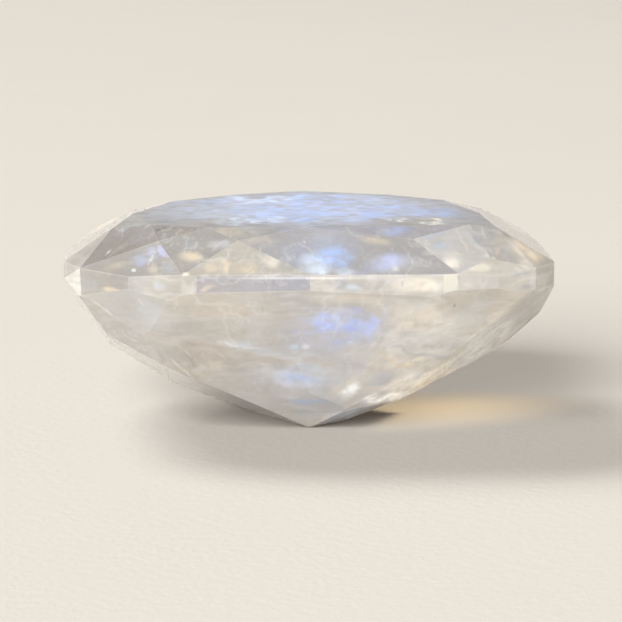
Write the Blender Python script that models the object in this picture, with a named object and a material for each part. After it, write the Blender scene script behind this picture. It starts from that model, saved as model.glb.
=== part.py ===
"""A faceted rainbow moonstone, modelled the way a stone is cut.

A round preform is ground flat one facet at a time: the flats of the girdle, then mains, stars
and breaks above it, then the rings of facets below it. Metres, +Z up. The stone stands on the
small flat spot at its lower tip, its table upward and its long side along X. The origin is on
that spot's level, under the middle of the girdle.
"""
import math

import bmesh
import bpy
from mathutils import Matrix, Vector

MM = 0.001

# Driving dimensions. The stone is 24 mm long, 18.5 mm wide and 10.87 mm high.
GIRDLE_LEVEL = 8.035 * MM
GIRDLE_THICKNESS = 0.935 * MM
CROWN_HEIGHT = 1.9 * MM
PREFORM_RADIUS = 13.6 * MM
PREFORM_SIDES = 64
FLAT_LENGTH = 2.2 * MM

GIRDLE_TOP = GIRDLE_LEVEL + GIRDLE_THICKNESS
TABLE_LEVEL = GIRDLE_TOP + CROWN_HEIGHT
WELD_DISTANCE = 0.004 * MM

# Bearings and azimuths are in degrees round the stone, 0 at the front (-Y) and 90 at +X.
# Each crown main touches the girdle's top edge at a corner of the outline, which stands at a
# bearing and a reach in mm from the middle. The main faces its azimuth and has its slope.
# Table share says where, between its two neighbours, the main's own corner is on the table.
CROWN_MAINS = (
    # bearing, reach, azimuth, slope, table share
    (-147.0, 10.91, -152.0, 25.6, 0.48),
    (-120.6, 13.14, -128.0, 18.3, 0.51),
    (-90.7, 11.97, -94.9, 29.7, 0.5),
    (-56.9, 13.13, -35.9, 31.2, 0.55),
    (-33.1, 10.98, -7.3, 36.1, 0.5),
    (0.2, 9.24, 2.9, 37.6, 0.4),
    (38.6, 11.27, 14.9, 33.5, 1.0),
    (56.7, 12.98, 32.2, 33.1, 0.0),
    (101.3, 11.82, 93.5, 29.5, 0.5),
    (123.3, 13.26, 130.0, 18.4, 0.48),
    (148.0, 10.81, 156.8, 26.4, 0.48),
    (180.0, 9.25, 180.2, 39.6, 0.53),
)

# What fills the gap after each main: how high up the crown its star's tip is, as a share of the
# crown height, how far in mm the outline bulges between its corners, and any further corner of
# the outline (bearing, reach) where two breaks meet.
CROWN_GAPS = (
    # tip share, bulge, further corners
    (0.74, 0.15, ()),
    (0.8, 0.12, ()),
    (0.83, 0.06, ((-67.1, 13.0),)),
    (0.69, 0.23, ()),
    (0.73, 0.14, ()),
    (0.74, 0.16, ()),
    (0.28, 0.17, ()),
    (0.89, 0.06, ((66.6, 12.96),)),
    (0.8, 0.08, ()),
    (0.74, 0.1, ()),
    (0.74, 0.15, ()),
    (0.74, 0.15, ()),
)

# A facet below the girdle faces its azimuth, rises outward at its slope, and would meet the
# girdle's lower level at its reach from the middle.
PAVILION_FACETS = (
    # name, azimuth, slope, reach in mm
    ("front main", 0.9, 55.4, 9.11),
    ("front main, left", -22.5, 68.1, 10.99),
    ("front main, right", 17.9, 46.7, 10.39),
    ("left corner", -46.6, 44.4, 13.28),
    ("right corner", 51.9, 39.7, 13.04),
    ("left end", -75.4, 54.3, 12.79),
    ("right end", 94.6, 57.6, 13.36),
    ("back main", 178.0, 56.0, 9.2),
    ("back main, left", -164.0, 55.0, 10.2),
    ("back main, right", 165.0, 52.0, 10.3),
    ("back corner, left", -133.0, 42.0, 13.6),
    ("back corner, right", 130.4, 42.0, 14.63),
    ("lower front, left", -3.7, 45.0, 10.32),
    ("lower front", 5.0, 46.7, 9.99),
    ("lower front, right", 17.0, 45.2, 10.52),
    ("lower right corner", 48.2, 40.3, 12.93),
    ("lower left end", -61.6, 34.0, 15.05),
    ("lower left end, behind", -101.9, 39.3, 14.8),
    ("lower right end", 59.8, 38.0, 13.2),
    ("lower right end, behind", 108.0, 43.3, 15.43),
    ("lower back, left", -172.0, 44.0, 10.79),
    ("lower back, right", 170.0, 45.0, 10.61),
    ("lower back corner, left", -148.1, 36.1, 14.14),
    ("lower back corner, right", 150.0, 36.1, 13.84),
    ("tip, right", 38.5, 34.0, 13.83),
    ("tip, front", -0.9, 41.3, 11.12),
    ("tip, front right", 40.3, 28.2, 16.47),
    ("tip, front left", -50.9, 26.4, 17.45),
    ("tip, right end", 78.3, 22.6, 20.96),
    ("tip, left end", -97.1, 24.7, 21.04),
    ("tip, back left", -128.0, 26.2, 19.85),
    ("tip, back right", 126.3, 28.1, 18.77),
    ("tip, back", 180.0, 35.0, 14.3),
    ("tip, far left", -95.0, 14.2, 33.9),
)

# Milky stone with a trace of blue, polished
STONE_COLOUR = (0.62, 0.66, 0.7, 1.0)
STONE_ROUGHNESS = 0.06
STONE_IOR = 1.53
STONE_CLARITY = 0.8


def outward(azimuth):
    """The level unit vector that faces an azimuth in degrees."""
    turn = math.radians(azimuth)
    return Vector((math.sin(turn), -math.cos(turn), 0.0))


def outline_corner(bearing, reach):
    """A corner of the outline, on the girdle's top edge."""
    return outward(bearing) * reach * MM + Vector((0.0, 0.0, GIRDLE_TOP))


def slanted(azimuth, slope, upward):
    """The outward normal of a facet whose face is tilted by slope degrees from level."""
    tilt = math.radians(slope)
    return outward(azimuth) * math.sin(tilt) + Vector((0.0, 0.0, upward * math.cos(tilt)))


def meeting_at_level(first, second, level):
    """The point where two facets, each a (point, normal) pair, meet at a level."""
    rows = Matrix((first[1], second[1], Vector((0.0, 0.0, 1.0))))
    reaches = Vector((first[1].dot(first[0]), second[1].dot(second[0]), level))
    return rows.inverted() @ reaches


def through(a, b, c):
    """The facet through three points, with its normal pointing away from the stone's middle."""
    normal = (b - a).cross(c - a).normalized()
    middle = Vector((0.0, 0.0, GIRDLE_LEVEL))
    if normal.dot(a - middle) < 0:
        normal.negate()
    return a, normal


def grind(stone, facet):
    """Grind the stone away on the outer side of a facet's plane and close the flat face."""
    point, normal = facet
    everything = stone.verts[:] + stone.edges[:] + stone.faces[:]
    cut = bmesh.ops.bisect_plane(stone, geom=everything, plane_co=point, plane_no=normal,
                                 dist=WELD_DISTANCE / 10, clear_outer=True)
    rim = [piece for piece in cut["geom_cut"] if isinstance(piece, bmesh.types.BMEdge)]
    if rim:
        bmesh.ops.contextual_create(stone, geom=rim)
        bmesh.ops.remove_doubles(stone, verts=stone.verts[:], dist=WELD_DISTANCE)


def round_preform(stone):
    """An upright round blank, from the foot's level up to the table."""
    bmesh.ops.create_cone(stone, cap_ends=True, segments=PREFORM_SIDES,
                          radius1=PREFORM_RADIUS, radius2=PREFORM_RADIUS, depth=TABLE_LEVEL,
                          matrix=Matrix.Translation((0.0, 0.0, TABLE_LEVEL / 2)))


def crown_mains():
    """The twelve mains, each as a point on it and its normal."""
    return [(outline_corner(bearing, reach), slanted(azimuth, slope, 1.0))
            for bearing, reach, azimuth, slope, _ in CROWN_MAINS]


def gap_corners(mains, k):
    """The corners of the outline across the gap after main k, from that main to the next."""
    after = (k + 1) % len(mains)
    extra = [outline_corner(bearing, reach) for bearing, reach in CROWN_GAPS[k][2]]
    return [mains[k][0]] + extra + [mains[after][0]]


def bulging(left, right, bulge):
    """Points from one corner of the outline to the next, on a shallow outward curve."""
    span = right - left
    outside = through(left, right, left - Vector((0.0, 0.0, GIRDLE_THICKNESS)))[1]
    steps = max(1, round(span.length / FLAT_LENGTH))
    shares = [step / steps for step in range(steps + 1)]
    return [left + span * t + outside * bulge * MM * 4 * t * (1 - t) for t in shares]


def girdle_flats(mains):
    """The upright flats of the girdle, a few between each two corners of the outline."""
    flats = []
    for k in range(len(mains)):
        corners = gap_corners(mains, k)
        for left, right in zip(corners, corners[1:]):
            points = bulging(left, right, CROWN_GAPS[k][1])
            for start, end in zip(points, points[1:]):
                below = start - Vector((0.0, 0.0, GIRDLE_THICKNESS))
                flats.append(through(start, end, below))
    return flats


def stars_and_breaks(mains):
    """The facets in the gaps between the mains: stars at the table, breaks at the girdle."""
    count = len(mains)
    meets = [meeting_at_level(mains[k], mains[(k + 1) % count], TABLE_LEVEL)
             for k in range(count)]
    table_corners = [meets[k - 1].lerp(meets[k], CROWN_MAINS[k][-1]) for k in range(count)]
    stars = []
    breaks = []
    for k in range(count):
        after = (k + 1) % count
        tip = meeting_at_level(mains[k], mains[after],
                               GIRDLE_TOP + CROWN_GAPS[k][0] * CROWN_HEIGHT)
        if (table_corners[k] - table_corners[after]).length > WELD_DISTANCE:
            stars.append(through(tip, table_corners[k], table_corners[after]))
        corners = gap_corners(mains, k)
        breaks += [through(tip, left, right) for left, right in zip(corners, corners[1:])]
    return stars + breaks


def pavilion_facets():
    """The facets below the girdle, in the order in which they are ground."""
    level = Vector((0.0, 0.0, GIRDLE_LEVEL))
    return [(outward(azimuth) * reach * MM + level, slanted(azimuth, slope, -1.0))
            for _, azimuth, slope, reach in PAVILION_FACETS]


def stone_material():
    """Clear to milky polished feldspar."""
    material = bpy.data.materials.new("moonstone")
    material.use_nodes = True
    shader = material.node_tree.nodes["Principled BSDF"]
    shader.inputs["Base Color"].default_value = STONE_COLOUR
    shader.inputs["Roughness"].default_value = STONE_ROUGHNESS
    shader.inputs["Metallic"].default_value = 0.0
    shader.inputs["IOR"].default_value = STONE_IOR
    shader.inputs["Transmission Weight"].default_value = STONE_CLARITY
    return material


def cut_stone(collection):
    """Grind the whole stone and put it in the collection."""
    stone = bmesh.new()
    round_preform(stone)
    mains = crown_mains()
    for facet in girdle_flats(mains) + mains + stars_and_breaks(mains) + pavilion_facets():
        grind(stone, facet)
    bmesh.ops.recalc_face_normals(stone, faces=stone.faces[:])
    mesh = bpy.data.meshes.new("moonstone")
    stone.to_mesh(mesh)
    stone.free()
    mesh.materials.append(stone_material())
    gem = bpy.data.objects.new("moonstone", mesh)
    collection.objects.link(gem)
    return gem


def main():
    for old in list(bpy.data.objects):
        bpy.data.objects.remove(old, do_unlink=True)
    collection = bpy.data.collections.new("rainbow_moonstone")
    bpy.context.scene.collection.children.link(collection)
    cut_stone(collection)


main()
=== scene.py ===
"""Looks of the faceted rainbow moonstone: its finish, painted light and glow, a paper floor, window
light and the camera.
"""
import math

import bmesh
import bpy
import numpy as np
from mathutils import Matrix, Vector
from mathutils.bvhtree import BVHTree


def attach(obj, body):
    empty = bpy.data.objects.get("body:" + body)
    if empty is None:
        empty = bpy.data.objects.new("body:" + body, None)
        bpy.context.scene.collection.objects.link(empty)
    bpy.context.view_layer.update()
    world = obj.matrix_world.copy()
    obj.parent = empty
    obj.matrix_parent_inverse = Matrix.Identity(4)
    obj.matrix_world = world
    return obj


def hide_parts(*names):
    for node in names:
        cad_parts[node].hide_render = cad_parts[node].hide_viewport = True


MM = 0.001

# The photograph's view of the stone: where the camera stands, in mm, how many degrees it looks
# down, and its lens and sensor in mm.
CAMERA_PLACE = (0.07, -128.14, 28.22)
CAMERA_DOWN = 10.0
CAMERA_LENS = 148.17
SENSOR = 36.0
FRAME_WIDTH = 622

FLOOR_HALF = 2.0
FLOOR_GRAIN_DEPTH = 0.1 * MM
FLOOR_COLOUR = (0.815, 0.765, 0.70)
ROOM_COLOUR = (0.035, 0.019, 0.007, 1.0)
FAR_WALL_COLOUR = (0.29, 0.28, 0.27, 1.0)
WINDOW_COLOUR = (0.97, 0.975, 0.965)

# Each window: name, where it stands in mm, its side in mm, its power in watts
WINDOWS = (
    ("front_window", (-1130, -2420, 1360), 1600, 121.0),
    ("left_window", (-1580, 1106, 2298), 1300, 58.0),
)

# The golden light that the stone gathers on the floor, from a small lamp. Places are in mm.
GATHERED_COLOUR = (1.0, 0.82, 0.55)
GATHERED_POWER = 0.2
GATHERED_SPREAD = 8.0
GATHERED_FROM = Vector((58.0, 16.0, 33.0))
GATHERED_AT = Vector((6.0, 2.2, 0.0))
GATHERED_LAMP_RADIUS = 2.0 * MM

# The markings are laid out in the photograph's pixels, seen from a point that is fixed to the stone.
# That point is where the photograph was taken from, and it doesn't move with the camera.
LAYOUT_EYE = Vector(CAMERA_PLACE)
LAYOUT_AHEAD = Vector((0.0, math.cos(math.radians(CAMERA_DOWN)), -math.sin(math.radians(CAMERA_DOWN))))
LAYOUT_ACROSS = Vector((1.0, 0.0, 0.0))
LAYOUT_DOWN = LAYOUT_AHEAD.cross(LAYOUT_ACROSS)
LAYOUT_MIDDLE = FRAME_WIDTH / 2
PIXELS_PER_SLOPE = CAMERA_LENS / SENSOR * FRAME_WIDTH

# The stone's finish: how far its edges are eased and the shortest edge that is kept, in mm, and how
# deep its slow waves and its inner haze go
EASED_EDGE = 0.03
SHORTEST_EDGE = 0.09
WAVE_DEPTH = 0.03 * MM
HAZE_DEPTH = 0.4 * MM
STONE_IOR = 1.52
STONE_CLARITY = 0.3
COAT = 0.35
COAT_ROUGHNESS = 0.03

# The mesh that holds the paint: its grid in the layout's pixels, then in mm the distance between
# the table's further cuts and the width of the slivers that are closed. Faces whose normal has this
# much upward in it are the table's. The last value is how near to a cut, in metres, counts as on it.
GRID = 2.0
TABLE_GRID = 0.25
SLIVER = 0.004
UPWARD = 0.99
CUT_TOLERANCE = 1e-7

# Noise: the lattice's cells along each side, how many pixels the markings sway by, and how alike
# the normals of one facet are
LATTICE = 32
SWAY = 14.0
SAME_FACET = 0.9997

# The milk of the stone, its warm share, and the length and width of its fine streaks in pixels
BODY_COLOUR = (0.82, 0.82, 0.84)
WARM_COLOUR = (0.88, 0.84, 0.77)
STREAK_LENGTH = 30.0
STREAK_WIDTH = 3.2

# Washes over the whole stone: noise, colour, strength, where it starts, which way it grows
WASHES = (
    ("streaks", "white", 0.7, 0.52, 1),
    ("streaks", "grey", 0.4, 0.48, -1),
    ("haze", "white", 0.45, 0.5, 1),
    ("haze", "grey", 0.45, 0.47, -1),
)
WASH_FADE = 0.2

# Each set of white veins: seed, scale per mm, strength
VEINS = (
    (12, 0.7, 0.35),
    (13, 1.3, 0.25),
)

COLOURS = {
    "white": (1.0, 1.0, 1.0),
    "milk": (0.92, 0.91, 0.90),
    "cream": (0.98, 0.93, 0.83),
    "gold": (1.0, 0.86, 0.64),
    "tan": (0.80, 0.71, 0.59),
    "brown": (0.55, 0.45, 0.35),
    "ink": (0.14, 0.12, 0.11),
    "grey": (0.68, 0.66, 0.64),
    "dusk": (0.46, 0.43, 0.42),
    "slate": (0.50, 0.53, 0.60),
    "lilac": (0.72, 0.71, 0.80),
    "violet": (0.60, 0.64, 0.92),
    "blue": (0.50, 0.66, 1.0),
    "ice": (0.78, 0.88, 1.0),
    "flash": (0.12, 0.36, 1.0),
    "amber": (1.0, 0.78, 0.50),
}

# Painted light and shade of a whole facet, given by a point on it: across, down, colour, strength.
PAINTED_FACET_TONES = (
    (124, 240, "dusk", 0.75),
    (172, 231, "dusk", 0.70),
    (131, 222, "grey", 0.3),
    (137, 262, "grey", 0.45),
    (200, 246, "grey", 0.45),
    (250, 232, "grey", 0.55),
    (316, 245, "lilac", 0.65),
    (396, 230, "lilac", 0.7),
    (231, 268, "cream", 0.6),
    (406, 265, "milk", 0.5),
    (458, 248, "milk", 0.6),
    (498, 244, "grey", 0.45),
    (496, 268, "cream", 0.5),
    (528, 252, "cream", 0.5),
    (99, 284, "grey", 0.5),
    (253, 283, "lilac", 0.7),
    (478, 281, "milk", 0.6),
    (519, 282, "grey", 0.5),
    (134, 309, "milk", 0.6),
    (263, 313, "milk", 0.2),
    (109, 319, "grey", 0.3),
    (213, 365, "tan", 0.25),
    (340, 369, "milk", 0.4),
    (389, 377, "cream", 0.5),
    (234, 401, "grey", 0.5),
    (318, 409, "grey", 0.3),
    (490, 337, "milk", 0.3),
)

# Painted shade: how much darker a facet's colour is made for the light it gets, given by a point on it:
# across, down, share
PAINTED_FACET_SHADES = (
    (172, 231, 0.68),
    (250, 232, 0.62),
    (124, 240, 0.70),
    (195, 248, 0.57),
    (320, 247, 0.58),
    (396, 230, 0.68),
    (456, 248, 0.80),
    (500, 246, 0.88),
    (84, 252, 0.80),
    (94, 232, 0.85),
    (138, 263, 0.60),
    (243, 264, 0.62),
    (496, 268, 0.88),
    (189, 284, 0.74),
    (253, 283, 0.66),
    (73, 279, 0.66),
    (99, 284, 0.64),
    (157, 287, 0.70),
    (387, 285, 0.80),
    (478, 281, 0.86),
    (134, 309, 0.67),
    (82, 305, 0.80),
    (109, 319, 0.74),
    (143, 358, 0.70),
    (263, 313, 0.79),
    (213, 365, 0.87),
    (340, 369, 0.93),
    (318, 409, 0.93),
)

# A marking's rim as a share of its size. One smaller than the crisp size isn't swayed. Streaks are
# fibres of this length and width. All of these are pixels of the layout but the rims.
SOFT_RIM = 0.75
SHARP_RIM = 0.25
CRISP_LENGTH = 5.0
CRISP_WIDTH = 1.3
FIBRE_LENGTH = 9.0
FIBRE_WIDTH = 1.5

# How a kind of marking is broken up by noise: scale per mm, seed, where it starts, how it fades in
BREAKS = {
    "crackle": (4.5, 4, 0.42, 0.16),
    "patches": (1.6, 5, 0.32, 0.25),
}

# Each marking: colour, across, down, half length, half width, turn in degrees clockwise, strength,
# kind. A soft marking fades out, a sharp one has a crisp rim, and streaks run along the marking's
# length. One that is kept stays on the facet under its middle.
# Blue, ice, violet and lilac markings are the stone's painted sheen.
# Ink, brown and tan ones are the stone's own specks and stains.
# White, cream and gold patches are partly veils and cracks, partly painted highlights and warm
# reflections.
MARKINGS_AND_PAINTED_SHEEN = (
    # table, from left to right
    ("blue", 274, 201, 56, 6.5, 0, 0.75, "streaks"),
    ("ice", 262, 199, 34, 4, 0, 0.7, "soft"),
    ("blue", 205, 205, 20, 4.5, -8, 0.5, "streaks"),
    ("ice", 250, 220, 52, 4, -3, 0.9, "streaks"),
    ("blue", 300, 217, 55, 6, 0, 0.6, "streaks"),
    ("ice", 262, 210, 30, 2.5, -2, 0.6, "soft"),
    ("grey", 285, 212.5, 62, 1.6, -1.5, 0.4, "soft"),
    ("grey", 330, 206, 26, 3, 2, 0.35, "soft"),
    ("blue", 345, 201.5, 62, 3, 3, 0.7, "streaks"),
    ("violet", 372, 213, 20, 7, 0, 0.5, "soft"),
    ("violet", 436, 214, 34, 5, 3, 0.55, "streaks"),
    ("cream", 432, 221.5, 24, 2.6, 1, 0.95, "streaks"),
    ("white", 396, 221.5, 16, 2.6, 2, 0.9, "streaks"),
    ("tan", 409.7, 216, 7, 0.9, 80, 0.5, "soft"),
    ("cream", 356, 219, 7, 1, 60, 0.6, "soft"),
    ("violet", 470, 219, 12, 4, 10, 0.4, "soft"),
    # left crown
    ("slate", 122.7, 235, 11, 3, -35, 0.8, "streaks kept"),
    ("slate", 136, 238, 13, 4, -35, 0.75, "streaks kept"),
    ("tan", 118, 248, 20, 3, -38, 0.6, "streaks kept"),
    ("grey", 148, 236, 12, 4, -30, 0.6, "streaks kept"),
    ("white", 108.5, 252, 4.5, 0.9, -40, 0.9, "soft kept"),
    ("slate", 89.5, 266.5, 10, 1.8, -20, 0.8, "soft kept"),
    ("ink", 175, 231, 30, 1.3, -3, 0.45, "streaks kept"),
    ("ink", 160, 229.5, 9, 1.2, -18, 0.5, "soft kept"),
    ("brown", 180, 235, 22, 3.5, -8, 0.55, "streaks kept"),
    ("slate", 200, 229.5, 15, 1.3, 3, 0.7, "soft kept"),
    ("tan", 118, 265, 22, 5, -12, 0.6, "soft kept"),
    ("violet", 136, 259, 11, 8, 0, 0.75, "soft kept"),
    ("violet", 148, 250, 6, 4.5, -20, 0.9, "soft kept"),
    ("violet", 162, 251, 8, 4, 55, 0.8, "sharp kept"),
    ("slate", 170, 266, 12, 7, 50, 0.7, "soft kept"),
    ("tan", 153, 268, 7, 8, 0, 0.6, "soft kept"),
    ("cream", 151, 259, 11, 1.2, -62, 0.7, "soft kept"),
    ("cream", 168, 256, 6, 0.8, -40, 0.6, "soft kept"),
    ("white", 133.6, 270.5, 1.8, 1.8, 0, 1.0, "sharp kept"),
    ("slate", 192, 244, 15, 6, 10, 0.5, "soft kept"),
    ("lilac", 220, 243, 20, 6, 0, 0.6, "soft kept"),
    ("gold", 192, 259, 15, 9, 5, 0.75, "soft kept"),
    ("gold", 207.5, 269, 8, 6, 0, 0.9, "soft kept"),
    ("gold", 224.5, 268, 5, 9, 5, 0.95, "soft kept"),
    ("cream", 186, 274, 4, 2, 0, 1.0, "sharp"),
    ("slate", 205, 264, 17, 0.7, -25, 0.5, "soft kept"),
    # middle crown
    ("tan", 232, 232, 22, 5, 0, 0.5, "soft kept"),
    ("violet", 289, 230, 18, 4, -8, 0.85, "soft kept"),
    ("tan", 262, 238, 28, 5, 0, 0.4, "soft kept"),
    ("ice", 317, 263, 22, 15, 0, 0.85, "soft kept"),
    ("blue", 334, 257, 24, 14, 0, 0.6, "soft kept"),
    ("ice", 317, 270, 14, 5, 0, 0.9, "soft kept"),
    ("grey", 318, 236, 40, 8, 0, 0.35, "soft kept"),
    ("tan", 377, 241, 24, 5, 5, 0.75, "soft kept"),
    ("violet", 396, 231, 22, 8, 0, 0.75, "soft kept"),
    ("violet", 356, 227, 26, 3, 6, 0.7, "soft kept"),
    ("tan", 424, 231, 9, 2.4, 10, 0.6, "soft kept"),
    ("blue", 434, 236, 15, 3, -15, 0.6, "soft kept"),
    ("cream", 270, 259, 12, 8, 20, 0.8, "soft kept"),
    ("gold", 245, 268, 16, 7, 0, 0.5, "soft kept"),
    ("ice", 345, 270, 17, 5.5, 2, 0.9, "soft kept"),
    ("violet", 371, 268, 18, 8, -15, 0.6, "soft kept"),
    ("violet", 392, 262, 18, 10, -10, 0.6, "soft kept"),
    ("cream", 396, 269, 7, 5, -50, 0.7, "streaks kept"),
    ("white", 304, 241.5, 2.2, 1.6, 40, 0.7, "soft kept"),
    ("dusk", 368, 249, 1.6, 1.6, 0, 0.6, "soft kept"),
    # right crown
    ("cream", 452, 261, 12, 10, 0, 0.9, "soft kept"),
    ("dusk", 460, 264, 9, 0.8, 78, 0.6, "soft kept"),
    ("blue", 440, 246, 18, 4, 12, 0.45, "soft kept"),
    ("cream", 461, 240, 20, 1.7, 55, 0.7, "streaks kept"),
    ("slate", 476, 238, 17, 4, 48, 0.85, "soft kept"),
    ("slate", 488, 231, 10, 4, 52, 0.8, "soft kept"),
    ("cream", 483, 233, 9, 1.3, 52, 0.8, "soft kept"),
    ("tan", 498, 240, 12, 6, 60, 0.6, "soft kept"),
    ("cream", 480, 268, 12, 5, 0, 0.85, "sharp kept"),
    ("cream", 486.6, 255.4, 2.8, 2.2, 0, 0.7, "sharp kept"),
    ("white", 494, 258.5, 2, 2, 0, 0.95, "sharp kept"),
    ("gold", 495.5, 251, 7, 1.8, -78, 0.9, "soft kept"),
    ("white", 519, 268.7, 7, 1.5, 10, 0.95, "soft kept"),
    ("grey", 510, 260, 12, 6, 20, 0.5, "soft kept"),
    ("white", 520, 250, 25, 1.6, 51, 0.9, "soft kept"),
    ("gold", 529, 255, 20, 2.4, 44, 0.8, "streaks kept"),
    ("grey", 532, 245, 14, 3, 42, 0.6, "streaks kept"),
    # girdle
    ("slate", 80.5, 282, 8, 1.3, 90, 0.8, "soft"),
    ("slate", 91, 283, 11, 7, 0, 0.35, "soft kept"),
    ("gold", 112, 288, 11, 3.5, 4, 0.7, "soft kept"),
    ("brown", 110, 287, 4, 1.4, 10, 0.6, "soft kept"),
    ("ice", 160, 285, 12, 6, 0, 0.4, "soft kept"),
    ("gold", 207, 289.5, 13, 3, 0, 0.9, "soft kept"),
    ("slate", 221, 283, 10, 4, 0, 0.5, "soft kept"),
    ("slate", 300, 283, 30, 8, 0, 0.3, "streaks kept"),
    ("slate", 341, 282, 12, 7, 0, 0.75, "soft kept"),
    ("ice", 356, 286, 14, 4, 0, 0.8, "soft kept"),
    ("cream", 420, 284, 36, 12, 0, 0.9, "soft kept"),
    ("cream", 450, 282, 9, 11, 0, 1.0, "sharp kept"),
    ("tan", 427, 281, 10, 1.4, 4, 0.7, "soft kept"),
    ("slate", 403, 282, 10, 1.2, 104, 0.7, "soft kept"),
    ("slate", 372, 284, 14, 1.4, 6, 0.4, "soft kept"),
    ("dusk", 459, 281, 9, 0.8, 86, 0.7, "soft"),
    ("cream", 468, 286, 7, 4, 0, 0.6, "soft kept"),
    ("cream", 520, 280, 22, 2, -18, 0.9, "soft"),
    ("slate", 529.5, 285.5, 8, 3.5, -10, 0.6, "soft kept"),
    ("slate", 522, 273.5, 15, 2, -14, 0.7, "soft kept"),
    # left of the underside
    ("grey", 113, 303, 15, 14, 8, 0.4, "soft kept"),
    ("slate", 98, 317, 21, 4, 60, 0.6, "soft kept"),
    ("ice", 146, 312, 20, 14, 30, 0.35, "soft kept"),
    ("grey", 176, 312, 16, 8, 10, 0.4, "streaks"),
    ("tan", 172, 300, 7, 5, 0, 0.9, "soft kept"),
    ("white", 175.5, 305.5, 4.5, 0.9, -70, 0.9, "soft"),
    ("white", 141, 302, 11, 0.8, 45, 0.6, "soft kept"),
    ("brown", 262, 306, 18, 1.3, 100, 0.6, "soft kept"),
    ("brown", 245, 315, 4, 2.2, -20, 0.5, "soft kept"),
    ("brown", 244, 332, 4.5, 3, -30, 0.45, "soft kept"),
    ("tan", 220, 312, 45, 14, 0, 0.55, "soft kept"),
    ("white", 104, 309, 22, 0.9, 37, 0.7, "soft"),
    ("grey", 161, 346, 15, 7, 25, 0.6, "soft kept"),
    ("dusk", 188.5, 362, 18, 6, 45, 0.4, "streaks kept"),
    ("dusk", 194, 378.5, 14, 3, 22, 0.4, "streaks kept"),
    ("white", 186, 352, 18, 0.9, 38, 0.55, "soft kept"),
    ("white", 180, 367, 26, 1.1, 40, 0.9, "soft"),
    ("slate", 206, 342.5, 13, 2.6, 8, 0.85, "streaks"),
    ("slate", 191, 347, 10, 1.3, 15, 0.7, "soft"),
    ("ice", 240, 344.5, 20, 4, -5, 0.6, "streaks"),
    ("blue", 256, 347.7, 18, 3.2, 12, 0.5, "streaks"),
    ("cream", 214, 364, 14, 10, -20, 0.8, "crackle"),
    ("cream", 212, 350, 5, 1.6, 80, 0.7, "crackle"),
    ("grey", 223, 379, 12, 2.4, 3, 0.6, "soft kept"),
    ("grey", 228, 391, 9, 2.2, 5, 0.6, "soft kept"),
    ("white", 152, 363, 32, 1.0, 36, 0.45, "soft kept"),
    ("lilac", 250, 402, 34, 5, 18, 0.5, "soft kept"),
    # middle of the underside
    ("violet", 335, 330, 70, 30, 0, 0.4, "soft kept"),
    ("violet", 324, 328, 13, 8, 0, 0.95, "patches kept"),
    ("violet", 329, 315, 12, 3, -8, 0.8, "patches kept"),
    ("violet", 348, 327, 9, 8, 20, 0.95, "patches kept"),
    ("violet", 356, 314, 6, 4, 0, 0.8, "patches kept"),
    ("violet", 374, 326, 9, 6, -20, 0.95, "patches kept"),
    ("violet", 368, 337, 6, 4, 0, 0.85, "patches kept"),
    ("violet", 295, 331, 3, 2.5, 0, 0.8, "soft kept"),
    ("ice", 296, 348, 7, 3, 0, 1.0, "soft kept"),
    ("white", 308.5, 347.5, 6, 3.2, 0, 1.0, "soft kept"),
    ("ice", 352, 344.5, 8, 2.3, -5, 0.9, "soft kept"),
    ("cream", 350, 298, 60, 8, 0, 0.5, "soft kept"),
    ("violet", 388, 305, 28, 4, 97, 0.5, "streaks"),
    ("tan", 309, 360, 16, 3.5, 0, 0.75, "soft"),
    ("tan", 327, 365, 14, 3, 18, 0.7, "soft"),
    ("ice", 304, 370, 24, 9, 0, 0.6, "soft"),
    ("blue", 300, 381, 24, 5.5, 5, 0.6, "soft"),
    ("ice", 283, 374, 12, 6, 0, 0.5, "soft"),
    ("lilac", 357, 366, 20, 14, 0, 0.6, "soft kept"),
    ("cream", 344, 387, 24, 8, -33, 1.0, "soft kept"),
    ("white", 349, 390, 12, 6, -33, 1.0, "soft kept"),
    ("white", 356, 389, 13, 0.9, 118, 0.9, "soft"),
    ("blue", 313, 401, 32, 4.5, 2, 0.6, "soft kept"),
    ("slate", 306, 411, 22, 3, 2, 0.65, "soft kept"),
    ("cream", 325, 419, 8, 3, -30, 0.8, "soft kept"),
    ("slate", 345, 415.5, 28, 3.4, -17, 0.85, "soft kept"),
    ("cream", 352, 407, 18, 4, -22, 0.8, "soft kept"),
    # right of the underside
    ("ice", 472, 312, 30, 18, -30, 0.35, "soft kept"),
    ("tan", 420, 318, 36, 14, -20, 0.4, "soft kept"),
    ("ink", 442.3, 297, 1.7, 1.3, 0, 0.75, "soft kept"),
    ("ink", 454.6, 305.3, 2.0, 1.6, 0, 0.85, "soft kept"),
    ("brown", 447, 296.5, 6, 2.6, 0, 0.35, "soft kept"),
    ("ink", 402, 328, 2.4, 0.9, 90, 0.4, "soft kept"),
    ("dusk", 470, 334.5, 2, 1, 0, 0.6, "soft kept"),
    ("white", 466, 343.5, 24, 0.9, -46, 0.85, "soft"),
    ("cream", 437, 349, 24, 5, -5, 0.9, "crackle kept"),
    ("slate", 414, 351.7, 38, 1.8, 12, 0.75, "soft"),
    ("gold", 381, 352.5, 9, 3, 0, 0.9, "streaks kept"),
    ("gold", 396, 361, 30, 9, 5, 0.7, "crackle kept"),
    ("brown", 396, 362, 22, 5, 15, 0.45, "crackle kept"),
    ("blue", 381, 379.5, 20, 8, -15, 0.5, "soft kept"),
    ("slate", 386, 382, 9, 4, -30, 0.35, "soft kept"),
    ("cream", 368, 389, 18, 4, -12, 0.9, "soft kept"),
    ("lilac", 425, 374, 20, 6, -25, 0.6, "soft kept"),
    ("white", 384, 398, 32, 5, -9, 1.0, "soft kept"),
    ("white", 412, 388, 20, 4, -38, 1.0, "soft kept"),
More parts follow.
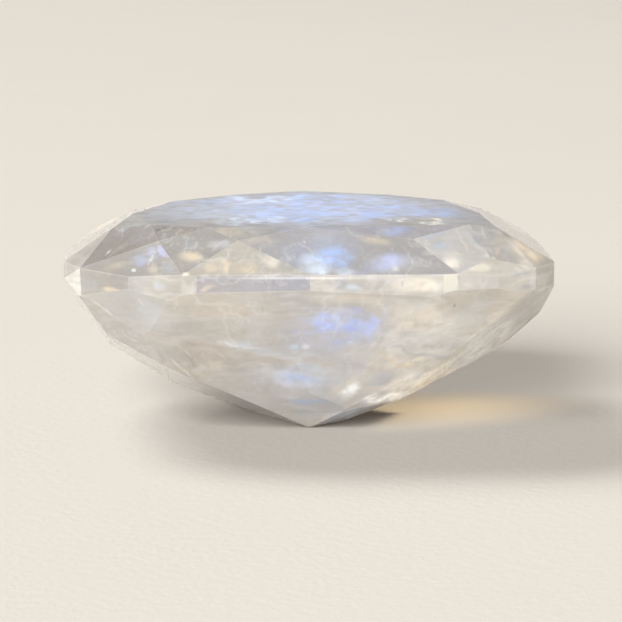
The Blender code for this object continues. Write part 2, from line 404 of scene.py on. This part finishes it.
    ("cream", 437, 374.5, 24, 3.2, -37, 1.0, "soft"),
    ("slate", 461, 365, 13, 3.4, -30, 0.7, "soft kept"),
    ("slate", 475, 354, 18, 3.4, -33, 0.85, "soft kept"),
    ("grey", 495, 331, 30, 8, -45, 0.35, "streaks kept"),
    ("white", 524, 312, 26, 1.5, -52, 0.6, "soft"),
    ("grey", 519, 320, 26, 2, -48, 0.5, "soft"),
)


# Painted glow: emission that stands in for the stone's blue sheen and its highlights at these places,
# laid out like the markings
PAINTED_GLOWS = (
    ("flash", 290, 203, 120, 9, 0, 0.40, "streaks"),
    ("flash", 305, 208, 200, 24, 0, 0.40, "soft"),
    ("white", 305, 208, 200, 24, 0, 0.15, "soft"),
    ("flash", 300, 214, 100, 10, 0, 0.28, "soft"),
    ("ice", 262, 200, 46, 5, 0, 0.45, "soft"),
    ("ice", 250, 220, 60, 4, -3, 0.40, "streaks"),
    ("flash", 410, 211, 70, 9, 2, 0.30, "soft"),
    ("cream", 432, 221.5, 26, 2.2, 1, 0.40, "streaks"),
    ("white", 396, 221.5, 17, 2.8, 2, 0.50, "streaks"),
    ("flash", 318, 250, 60, 30, 0, 0.12, "soft"),
    ("flash", 396, 231, 30, 8, 0, 0.12, "soft kept"),
    ("flash", 334, 258, 24, 14, 0, 0.20, "soft kept"),
    ("ice", 317, 268, 20, 9, 0, 0.25, "soft kept"),
    ("flash", 392, 262, 30, 12, -10, 0.16, "soft kept"),
    ("milk", 400, 264, 50, 12, 0, 0.12, "soft kept"),
    ("cream", 410, 314, 60, 22, 0, 0.13, "soft"),
    ("flash", 150, 254, 16, 10, 0, 0.16, "soft kept"),
    ("amber", 222, 266, 20, 9, 5, 0.14, "soft kept"),
    ("cream", 452, 261, 16, 12, 0, 0.22, "soft kept"),
    ("amber", 525, 253, 26, 15, 40, 0.42, "soft"),
    ("milk", 543, 280, 14, 14, 0, 0.14, "soft"),
    ("cream", 490, 337, 50, 24, -40, 0.22, "soft"),
    ("milk", 462, 362, 34, 12, -35, 0.16, "soft"),
    ("ice", 350, 413, 34, 7, -18, 0.20, "soft"),
    ("flash", 300, 345, 130, 60, 0, 0.035, "soft"),
    ("cream", 480, 266, 18, 6, 0, 0.16, "soft kept"),
    ("cream", 430, 283, 38, 12, 0, 0.14, "soft kept"),
    ("white", 300, 278, 90, 1.2, 0, 0.30, "soft"),
    ("flash", 340, 328, 60, 24, 0, 0.12, "soft"),
    ("flash", 330, 322, 22, 12, 0, 0.16, "patches"),
    ("flash", 368, 326, 16, 12, 0, 0.16, "patches"),
    ("flash", 300, 382, 40, 10, 3, 0.16, "soft"),
    ("ice", 290, 376, 60, 34, 0, 0.13, "soft"),
    ("cream", 405, 350, 100, 46, -24, 0.20, "soft"),
    ("amber", 400, 360, 40, 12, -5, 0.16, "crackle"),
    ("cream", 412, 384, 62, 14, -24, 0.32, "soft"),
    ("white", 349, 391, 16, 8, -33, 0.45, "soft"),
    ("white", 384, 398, 34, 5.5, -9, 0.45, "soft"),
    ("white", 240, 346, 40, 3, 8, 0.14, "streaks"),
)


class Nodes:
    """Short words for building one shader."""

    def __init__(self, tree):
        self.tree = tree
        self.tree.nodes.clear()

    def make(self, kind, inputs=None, **settings):
        node = self.tree.nodes.new(kind)
        for key, value in settings.items():
            setattr(node, key, value)
        for key, value in (inputs or {}).items():
            self.feed(node.inputs[key], value)
        return node

    def feed(self, socket, value):
        if isinstance(value, bpy.types.NodeSocket):
            self.tree.links.new(value, socket)
        elif value is not None:
            socket.default_value = value

    def math(self, operation, a, b=None):
        node = self.make("ShaderNodeMath", operation=operation)
        for k, value in enumerate((a, b)):
            if value is not None:
                self.feed(node.inputs[k], value)
        return node.outputs[0]

    def place_in_mm(self):
        node = self.make("ShaderNodeVectorMath", {"Scale": 1.0 / MM}, operation="SCALE")
        self.feed(node.inputs[0], self.make("ShaderNodeTexCoord").outputs["Object"])
        return node.outputs[0]

    def mix(self, share, a, b):
        node = self.make("ShaderNodeMix", data_type="RGBA")
        self.feed(node.inputs[0], share)
        self.feed(node.inputs[6], a)
        self.feed(node.inputs[7], b)
        return node.outputs[2]

    def ramp(self, value, low, high, out=(0.0, 1.0)):
        node = self.make("ShaderNodeMapRange", interpolation_type="SMOOTHSTEP")
        self.feed(node.inputs["Value"], value)
        limits = (("From Min", low), ("From Max", high), ("To Min", out[0]), ("To Max", out[1]))
        for key, number in limits:
            self.feed(node.inputs[key], number)
        return node.outputs["Result"]

    def noise(self, place, scale, detail=3.0, rough=0.55):
        node = self.make("ShaderNodeTexNoise", {
            "Vector": place, "Scale": scale, "Detail": detail, "Roughness": rough})
        return node.outputs["Fac"]


def palette(name):
    return COLOURS[name] + (1.0,)


def smooth(value):
    value = np.clip(value, 0.0, 1.0)
    return value * value * (3.0 - 2.0 * value)


def cloud(places, scale, seed, octaves=3):
    """Soft noise between 0 and 1 at places in mm, from a lattice of even random values."""
    lattice = np.random.RandomState(seed).rand(LATTICE, LATTICE, LATTICE)
    total = np.zeros(len(places))
    weight = 0.0
    for octave in range(octaves):
        at = places * scale * 2.0 ** octave + 17.3 * (octave + 1)
        cell = np.floor(at).astype(int)
        part = smooth(at - cell)
        value = 0.0
        for corner in np.ndindex(2, 2, 2):
            index = (cell + corner) % LATTICE
            share = np.prod(np.where(corner, part, 1.0 - part), axis=1)
            value = value + share * lattice[index[:, 0], index[:, 1], index[:, 2]]
        total += value * 0.5 ** octave
        weight += 0.5 ** octave
    return total / weight


def seen(places):
    """The layout's pixels for places in mm."""
    rays = places - np.array(LAYOUT_EYE)
    depth = rays @ np.array(LAYOUT_AHEAD)
    scale = PIXELS_PER_SLOPE / depth
    across = rays @ np.array(LAYOUT_ACROSS) * scale + LAYOUT_MIDDLE
    down = rays @ np.array(LAYOUT_DOWN) * scale + LAYOUT_MIDDLE
    return np.stack((across, down), axis=1)


def in_marking(pixels, row):
    """Where pixels of the layout are in a marking's own frame, 1 being its rim."""
    _, across, down, long, wide, turn, _, _ = row
    cos = math.cos(math.radians(turn))
    sin = math.sin(math.radians(turn))
    x = pixels[:, 0] - across
    y = pixels[:, 1] - down
    return (x * cos + y * sin) / long, (y * cos - x * sin) / wide


class Canvas:
    """The corners of the stone's faces, on which the layout is painted."""

    def __init__(self, mesh, solid):
        self.mesh = mesh
        self.tree = BVHTree.FromObject(solid, bpy.context.evaluated_depsgraph_get())
        vertices = np.empty(len(mesh.vertices) * 3)
        mesh.vertices.foreach_get("co", vertices)
        corners = np.empty(len(mesh.loops), dtype=int)
        mesh.loops.foreach_get("vertex_index", corners)
        normals = np.empty(len(mesh.polygons) * 3)
        mesh.polygons.foreach_get("normal", normals)
        self.place = vertices.reshape(-1, 3)[corners] / MM
        self.normal = np.repeat(normals.reshape(-1, 3), 3, axis=0)
        self.behind = is_behind(self.normal)
        self.pixel = seen(turned(self.place, self.behind))
        sway = [cloud(self.place, 0.8, seed) - 0.5 for seed in (1, 2)]
        self.swayed = self.pixel + np.stack(sway, axis=1) * SWAY
        self.colour = np.ones((len(corners), 4))
        self.painted_glow = np.zeros((len(corners), 4))

    def facet(self, across, down):
        """Which corners are on the facet that holds a pixel of the layout."""
        ray = (LAYOUT_AHEAD * PIXELS_PER_SLOPE + LAYOUT_ACROSS * (across - LAYOUT_MIDDLE)
               + LAYOUT_DOWN * (down - LAYOUT_MIDDLE)).normalized()
        normal = self.tree.ray_cast(LAYOUT_EYE * MM, ray)[1]
        return self.normal @ np.array(normal) > SAME_FACET

    def spread(self, target, share, colour):
        """Mix a colour into the target by a share at each corner."""
        target[:, :3] += share[:, None] * (np.array(colour) - target[:, :3])

    def share(self, row):
        """How much of a marking each corner has."""
        _, across, down, long, wide, _, strength, kind = row
        words = kind.split()
        crisp = "sharp" in words or long < CRISP_LENGTH or wide < CRISP_WIDTH
        u, v = in_marking(self.pixel if crisp else self.swayed, row)
        rim = SHARP_RIM if "sharp" in words or "patches" in words else SOFT_RIM
        share = smooth((1.0 - np.hypot(u, v)) / rim) * strength
        if "kept" in words:
            share = share * self.facet(across, down)
        near = np.nonzero(share > 0.0)[0]
        if not crisp:
            share[near] *= 0.45 + 0.55 * smooth((cloud(self.place[near], 2.2, 7) - 0.3) / 0.35)
        if "streaks" in words:
            ahead = u[near] * long / FIBRE_LENGTH
            aside = v[near] * wide / FIBRE_WIDTH
            run = np.stack((ahead, aside, 0 * ahead + across), axis=1)
            share[near] *= smooth((cloud(run, 1.0, 3) - 0.35) / 0.25)
        for word in words:
            if word in BREAKS:
                scale, seed, start, fade = BREAKS[word]
                share[near] *= smooth((cloud(self.place[near], scale, seed) - start) / fade)
        return share

    def keep(self):
        for name, values in (("paint", self.colour), ("painted_glow", self.painted_glow)):
            attribute = self.mesh.color_attributes.new(name, "FLOAT_COLOR", "CORNER")
            attribute.data.foreach_set("color", values.astype(np.float32).ravel())


def is_behind(normals):
    """Which faces turn away from the layout's eye. The table isn't one of them."""
    return (normals[:, 1] > 0.02) & (normals[:, 2] < UPWARD)


def turned(places, behind):
    """Places behind are turned half round, so that the layout is on the back as well."""
    sign = np.where(behind, -1.0, 1.0)
    return places * np.stack((sign, sign, np.ones(len(places))), axis=1)


def paint(canvas):
    """Milk and warm haze, then the facets' painted light and shade, then the markings with their painted
    sheen, the white veins and the painted glow.
    """
    warm = smooth((cloud(canvas.place, 0.32, 6) - 0.35) / 0.3)
    canvas.colour[:, :3] = BODY_COLOUR
    canvas.spread(canvas.colour, warm, WARM_COLOUR)
    across = canvas.swayed[:, 0] / STREAK_LENGTH
    down = canvas.swayed[:, 1] / STREAK_WIDTH
    along = np.stack((across, down, canvas.place[:, 1] * 0.05), axis=1)
    noises = {"streaks": cloud(along, 1.0, 8), "haze": cloud(canvas.place, 0.9, 10)}
    for noise, name, strength, start, way in WASHES:
        share = strength * smooth(way * (noises[noise] - start) / WASH_FADE)
        canvas.spread(canvas.colour, share, COLOURS[name])
    # Each listed facet's painted light and shade.
    for across, down, name, strength in PAINTED_FACET_TONES:
        canvas.spread(canvas.colour, canvas.facet(across, down) * strength, COLOURS[name])
    # Painted shade: each listed facet's colour is darkened by its share.
    for across, down, share in PAINTED_FACET_SHADES:
        canvas.colour[canvas.facet(across, down), :3] *= share
    # Specks, stains and veils, with painted sheen, highlights and reflections.
    for row in MARKINGS_AND_PAINTED_SHEEN:
        canvas.spread(canvas.colour, canvas.share(row), COLOURS[row[0]])
    for seed, scale, strength in VEINS:
        vein = 1.0 - np.abs(2.0 * cloud(canvas.place, scale, seed) - 1.0)
        patchy = smooth((cloud(canvas.place, 0.5, seed + 10) - 0.42) / 0.2)
        canvas.spread(canvas.colour, strength * patchy * smooth((vein - 0.93) / 0.07), COLOURS["white"])
    # Painted glow of the sheen and highlights, kept for the emission.
    for row in PAINTED_GLOWS:
        canvas.spread(canvas.painted_glow, canvas.share(row), COLOURS[row[0]])
    canvas.keep()


def stone_material():
    material = bpy.data.materials.new("moonstone_look")
    material.use_nodes = True
    n = Nodes(material.node_tree)
    place = n.place_in_mm()
    # The paint layer is the stone's colour with its painted facet light and shade, sheen and highlights.
    paint_layer = n.make("ShaderNodeAttribute", attribute_name="paint")
    # Painted glow: emission lights the sheen and highlights, though the stone is no lamp.
    painted_glow_layer = n.make("ShaderNodeAttribute", attribute_name="painted_glow")
    colour = paint_layer.outputs["Color"]
    grain = n.noise(place, 5.0, 4.0, 0.65)
    colour = n.mix(n.ramp(grain, 0.35, 0.75, out=(0.0, 0.16)), colour, palette("tan"))
    wave = n.noise(place, 0.5, 2.0)
    bump = n.make("ShaderNodeBump", {"Height": wave, "Distance": WAVE_DEPTH, "Strength": 1.0})
    rough = n.ramp(n.noise(place, 1.2, 3.0), 0.3, 0.7, out=(0.02, 0.1))
    shader = n.make("ShaderNodeBsdfPrincipled", {
        "Base Color": colour, "Roughness": rough, "IOR": STONE_IOR, "Transmission Weight": STONE_CLARITY,
        "Subsurface Weight": 1.0, "Subsurface Radius": (1.0, 1.0, 1.0), "Subsurface Scale": HAZE_DEPTH,
        "Coat Weight": COAT, "Coat Roughness": COAT_ROUGHNESS, "Normal": bump.outputs[0],
        "Emission Color": painted_glow_layer.outputs["Color"], "Emission Strength": 1.0})
    out = n.make("ShaderNodeOutputMaterial")
    n.tree.links.new(shader.outputs[0], out.inputs["Surface"])
    return material


def refine(stone):
    """Cut the faces along a fine grid, so that the mesh can hold the paint.

    The grid is the layout's, with further cuts across the table, which the layout sees at a low angle.
    """
    places = np.array([v.co for v in stone.verts]) / MM
    for line in np.arange(places[:, 1].min() + TABLE_GRID / 2, places[:, 1].max(), TABLE_GRID):
        table = [face for face in stone.faces if face.normal.z > UPWARD]
        edges = {edge for face in table for edge in face.edges}
        corners = {corner for face in table for corner in face.verts}
        everything = table + list(edges) + list(corners)
        bmesh.ops.bisect_plane(stone, geom=everything, dist=CUT_TOLERANCE,
                               plane_co=(0.0, line * MM, 0.0), plane_no=(0.0, 1.0, 0.0))
    pixels = seen(places)
    eye = LAYOUT_EYE * MM
    for axis, direction in ((0, LAYOUT_ACROSS), (1, LAYOUT_DOWN)):
        for line in np.arange(pixels[:, axis].min() + GRID / 2, pixels[:, axis].max(), GRID):
            normal = direction * PIXELS_PER_SLOPE - LAYOUT_AHEAD * (line - LAYOUT_MIDDLE)
            everything = stone.verts[:] + stone.edges[:] + stone.faces[:]
            bmesh.ops.bisect_plane(stone, geom=everything, dist=CUT_TOLERANCE,
                                   plane_co=eye, plane_no=normal)
    bmesh.ops.remove_doubles(stone, verts=stone.verts[:], dist=SLIVER * MM)
    bmesh.ops.triangulate(stone, faces=stone.faces[:])


def eased_stone(node):
    """The stone with its facet edges eased by a hair, as polish and wear leave them."""
    stone = bmesh.new()
    stone.from_mesh(node.data)
    bmesh.ops.dissolve_limit(stone, angle_limit=0.002, verts=stone.verts[:], edges=stone.edges[:])
    bmesh.ops.remove_doubles(stone, verts=stone.verts[:], dist=SHORTEST_EDGE * MM)
    bmesh.ops.bevel(stone, geom=stone.edges[:], offset=EASED_EDGE * MM, offset_type="OFFSET",
                    segments=1, profile=0.5, affect="EDGES", clamp_overlap=True)
    bmesh.ops.recalc_face_normals(stone, faces=stone.faces[:])
    refine(stone)
    mesh = bpy.data.meshes.new("moonstone_eased")
    stone.to_mesh(mesh)
    stone.free()
    piece = bpy.data.objects.new("moonstone_eased", mesh)
    bpy.context.scene.collection.objects.link(piece)
    return piece


def floor_material():
    material = bpy.data.materials.new("paper_floor")
    material.use_nodes = True
    n = Nodes(material.node_tree)
    place = n.place_in_mm()
    blotches = n.noise(place, 0.05, 3.0)
    grain = n.noise(place, 2.0, 2.0)
    tone = n.math("ADD", n.math("MULTIPLY", blotches, 0.6), n.math("MULTIPLY", grain, 0.4))
    dark = tuple(c * 0.97 for c in FLOOR_COLOUR) + (1.0,)
    light = tuple(c * 1.02 for c in FLOOR_COLOUR) + (1.0,)
    colour = n.mix(tone, dark, light)
    bump = n.make("ShaderNodeBump", {"Height": grain, "Distance": FLOOR_GRAIN_DEPTH, "Strength": 0.2})
    shader = n.make("ShaderNodeBsdfPrincipled", {
        "Base Color": colour, "Roughness": 0.9, "Specular IOR Level": 0.1, "Normal": bump.outputs[0]})
    out = n.make("ShaderNodeOutputMaterial")
    n.tree.links.new(shader.outputs[0], out.inputs["Surface"])
    return material


def add_floor():
    mesh = bpy.data.meshes.new("floor")
    signs = ((-1, -1), (1, -1), (1, 1), (-1, 1))
    corners = [(x * FLOOR_HALF, y * FLOOR_HALF, 0) for x, y in signs]
    mesh.from_pydata(corners, [], [(0, 1, 2, 3)])
    floor = bpy.data.objects.new("floor", mesh)
    bpy.context.scene.collection.objects.link(floor)
    mesh.materials.append(floor_material())


def add_lamp(name, data, place, target):
    """A lamp of this data at a place, aimed at a target, both in mm."""
    lamp = bpy.data.objects.new(name, data)
    bpy.context.scene.collection.objects.link(lamp)
    lamp.location = place * MM
    aim = (target - place) * MM
    lamp.rotation_euler = aim.to_track_quat("-Z", "Y").to_euler()
    return lamp


def add_window(name, place, side, power):
    """A square window of even light. It lights the stone, but isn't mirrored in its facets."""
    data = bpy.data.lights.new(name, "AREA")
    data.shape = "RECTANGLE"
    data.size = side * MM
    data.size_y = side * MM
    data.energy = power
    data.color = WINDOW_COLOUR
    lamp = add_lamp(name, data, Vector(place), Vector((0.0, 0.0, 0.0)))
    lamp.visible_glossy = False
    lamp.visible_transmission = False


def add_gathered_light():
    """The golden light that the stone gathers under its right side."""
    data = bpy.data.lights.new("gathered_light", "SPOT")
    data.energy = GATHERED_POWER
    data.color = GATHERED_COLOUR
    data.spot_size = math.radians(GATHERED_SPREAD)
    data.spot_blend = 1.0
    data.shadow_soft_size = GATHERED_LAMP_RADIUS
    add_lamp("gathered_light", data, GATHERED_FROM, GATHERED_AT)


def add_world():
    """A dim room with a paler band along the far wall."""
    world = bpy.data.worlds.new("room")
    bpy.context.scene.world = world
    world.use_nodes = True
    n = Nodes(world.node_tree)
    way = n.make("ShaderNodeSeparateXYZ", {"Vector": n.make("ShaderNodeTexCoord").outputs["Generated"]})
    low = n.ramp(n.math("ABSOLUTE", way.outputs["Z"]), 0.5, 0.1)
    back = n.ramp(way.outputs["Y"], -0.2, 0.8)
    colour = n.mix(n.math("MULTIPLY", low, back), ROOM_COLOUR, FAR_WALL_COLOUR)
    background = n.make("ShaderNodeBackground", {"Color": colour, "Strength": 1.0})
    out = n.make("ShaderNodeOutputWorld")
    n.tree.links.new(background.outputs[0], out.inputs["Surface"])


def add_camera():
    data = bpy.data.cameras.new("camera")
    data.lens = CAMERA_LENS
    data.sensor_width = SENSOR
    data.clip_start = 0.005
    data.clip_end = 20.0
    data.dof.use_dof = False
    camera = bpy.data.objects.new("camera", data)
    bpy.context.scene.collection.objects.link(camera)
    camera.location = Vector(CAMERA_PLACE) * MM
    camera.rotation_euler = (math.radians(90 - CAMERA_DOWN), 0.0, 0.0)
    bpy.context.scene.camera = camera


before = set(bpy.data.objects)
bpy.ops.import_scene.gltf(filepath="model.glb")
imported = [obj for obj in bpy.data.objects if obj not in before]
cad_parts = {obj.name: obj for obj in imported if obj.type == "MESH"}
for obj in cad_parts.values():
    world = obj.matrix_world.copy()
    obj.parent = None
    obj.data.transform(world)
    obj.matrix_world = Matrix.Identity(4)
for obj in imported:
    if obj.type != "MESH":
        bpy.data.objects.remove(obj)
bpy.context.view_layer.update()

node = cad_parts["moonstone"]
stone = eased_stone(node)
paint(Canvas(stone.data, node))
stone.data.materials.append(stone_material())
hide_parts("moonstone")
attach(stone, "root")
# Clear stone throws little light back at the floor, so the floor gets none of its milk's.
stone.visible_diffuse = False

add_floor()
add_camera()
add_world()
for window in WINDOWS:
    add_window(*window)
add_gathered_light()
bpy.context.scene.view_settings.view_transform = "Standard"
